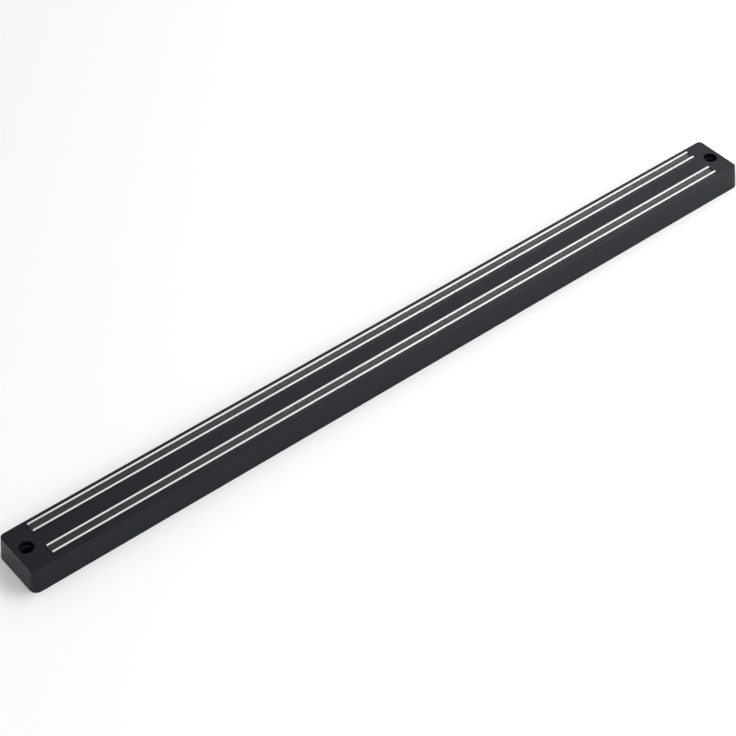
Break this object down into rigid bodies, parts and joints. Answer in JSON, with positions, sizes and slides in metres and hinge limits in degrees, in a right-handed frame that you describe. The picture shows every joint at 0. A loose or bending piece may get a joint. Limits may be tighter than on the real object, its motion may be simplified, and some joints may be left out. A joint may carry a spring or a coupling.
{
  "type": "magnetic knife rack",
  "caption": "Wall-mounted magnetic knife rack: long black plastic bar with parallel magnet tracks of bright steel strips and a recessed screw hole at each end.",
  "frame": {"origin": "centre of the back, in the plane that lies on the wall", "axes": "+X along the rack, +Y across it, +Z out of the wall through the face that the knives hang on"},
  "size_m": [0.61, 0.0426, 0.0197],
  "materials": {
    "housing_plastic": "moulded black, fine satin texture",
    "strip_steel": "nickel-plated mild steel, brushed along its length",
    "magnet_ferrite": "ground sintered ferrite, dark grey",
    "cover_plastic": "moulded black, plain",
    "screw_steel": "zinc-plated"
  },
  "bodies": {
    "root": {"housing": "housing_plastic", "upper_pole_strip_top": "strip_steel", "upper_pole_strip_bottom": "strip_steel", "lower_pole_strip_top": "strip_steel", "lower_pole_strip_bottom": "strip_steel", "upper_magnet_01": "magnet_ferrite", "upper_magnet_02": "magnet_ferrite", "upper_magnet_03": "magnet_ferrite", "upper_magnet_04": "magnet_ferrite", "upper_magnet_05": "magnet_ferrite", "upper_magnet_06": "magnet_ferrite", "upper_magnet_07": "magnet_ferrite", "upper_magnet_08": "magnet_ferrite", "upper_magnet_09": "magnet_ferrite", "upper_magnet_10": "magnet_ferrite", "upper_magnet_11": "magnet_ferrite", "upper_magnet_12": "magnet_ferrite", "lower_magnet_01": "magnet_ferrite", "lower_magnet_02": "magnet_ferrite", "lower_magnet_03": "magnet_ferrite", "lower_magnet_04": "magnet_ferrite", "lower_magnet_05": "magnet_ferrite", "lower_magnet_06": "magnet_ferrite", "lower_magnet_07": "magnet_ferrite", "lower_magnet_08": "magnet_ferrite", "lower_magnet_09": "magnet_ferrite", "lower_magnet_10": "magnet_ferrite", "lower_magnet_11": "magnet_ferrite", "lower_magnet_12": "magnet_ferrite", "back_cover": "cover_plastic", "cover_screws": "screw_steel"}
  },
  "joints": []
}
